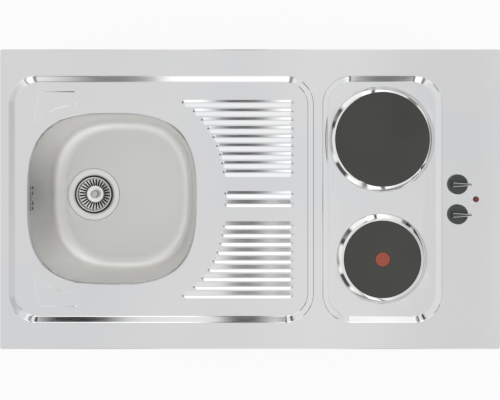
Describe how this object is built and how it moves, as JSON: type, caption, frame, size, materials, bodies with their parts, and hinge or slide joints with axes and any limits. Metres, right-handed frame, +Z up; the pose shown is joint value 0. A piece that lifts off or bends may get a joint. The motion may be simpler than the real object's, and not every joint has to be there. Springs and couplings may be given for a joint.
{
  "type": "kitchenette sink and hob top",
  "caption": "Lay-on stainless kitchenette top with a welded bowl, a ribbed drainer, a basket strainer waste and sealed cast-iron hotplates worked by rotary knobs.",
  "frame": {"origin": "middle of the plan, on the plane that the folded rim rests on, where the underside of the middle batten lies", "axes": "+X to the right as seen by the user, towards the hob; +Y to the wall; +Z up"},
  "size_m": [1, 0.6, 0.2713],
  "materials": {
    "satin_steel": "satin",
    "bowl_steel": "satin",
    "mirror_steel": "polished",
    "waste_steel": "satin",
    "bright_steel": "bright",
    "zinc_steel": "galvanised",
    "cast_iron": "matt",
    "red_enamel": "matt",
    "softwood": "raw",
    "fibre_seal": "matt",
    "rubber": "matt",
    "ceramic": "glazed",
    "knob_plastic": "fine grain",
    "switch_plastic": "moulded",
    "black_plastic": "moulded",
    "lamp_red": "clear red",
    "waste_plastic": "moulded",
    "hose_plastic": "moulded",
    "lead_sleeve": "woven sleeve"
  },
  "bodies": {
    "worktop": {"worktop_sheet": "satin_steel", "sink_bowl": "bowl_steel", "front_batten": "softwood", "rear_batten": "softwood", "left_batten": "softwood", "right_batten": "softwood", "middle_batten": "softwood", "hotplate_rear": "cast_iron", "hotplate_front": "cast_iron", "trim_ring_rear": "mirror_steel", "trim_ring_front": "mirror_steel", "ring_seal_rear": "fibre_seal", "ring_seal_front": "fibre_seal", "heat_shield_rear": "zinc_steel", "heat_shield_front": "zinc_steel", "clamp_bridge_rear": "zinc_steel", "clamp_bridge_front": "zinc_steel", "plate_stud_rear": "bright_steel", "plate_stud_front": "bright_steel", "plate_nut_rear": "bright_steel", "plate_nut_front": "bright_steel", "plate_terminal_rear": "ceramic", "plate_terminal_front": "ceramic", "rapid_mark": "red_enamel", "hob_tray": "zinc_steel", "tray_screw_rear_left": "bright_steel", "tray_screw_rear_right": "bright_steel", "tray_screw_front_left": "bright_steel", "tray_screw_front_right": "bright_steel", "switch_body_rear": "switch_plastic", "switch_body_front": "switch_plastic", "switch_bracket": "zinc_steel", "lamp_lens": "lamp_red", "lamp_body": "black_plastic", "cable_gland": "black_plastic", "gland_nut": "black_plastic", "mains_terminal": "switch_plastic", "plate_lead_rear": "lead_sleeve", "plate_lead_front": "lead_sleeve", "supply_lead": "lead_sleeve", "lamp_lead": "lead_sleeve", "waste_flange": "waste_steel", "waste_screw": "bright_steel", "waste_gasket": "rubber", "waste_body": "waste_plastic", "overflow_gasket": "rubber", "overflow_box": "waste_plastic", "overflow_screw": "bright_steel", "overflow_hose": "hose_plastic"},
    "rear_control": {"knob_rear": "knob_plastic", "switch_shaft_rear": "bright_steel"},
    "front_control": {"knob_front": "knob_plastic", "switch_shaft_front": "bright_steel"},
    "strainer": {"strainer_basket": "waste_steel", "strainer_knob": "bright_steel", "strainer_seal": "rubber"}
  },
  "joints": [
    {"name": "knob_rear_turn", "type": "hinge", "parent": "worktop", "child": "rear_control", "pos_m": [0.415, 0.03, 0.04], "axis": [0, 0, -1], "range_deg": [0, 270]},
    {"name": "knob_front_turn", "type": "hinge", "parent": "worktop", "child": "front_control", "pos_m": [0.415, -0.03, 0.04], "axis": [0, 0, -1], "range_deg": [0, 270]},
    {"name": "basket_lift", "type": "slide", "parent": "worktop", "child": "strainer", "axis": [0, 0, 1], "range_m": [0, 0.2]}
  ]
}
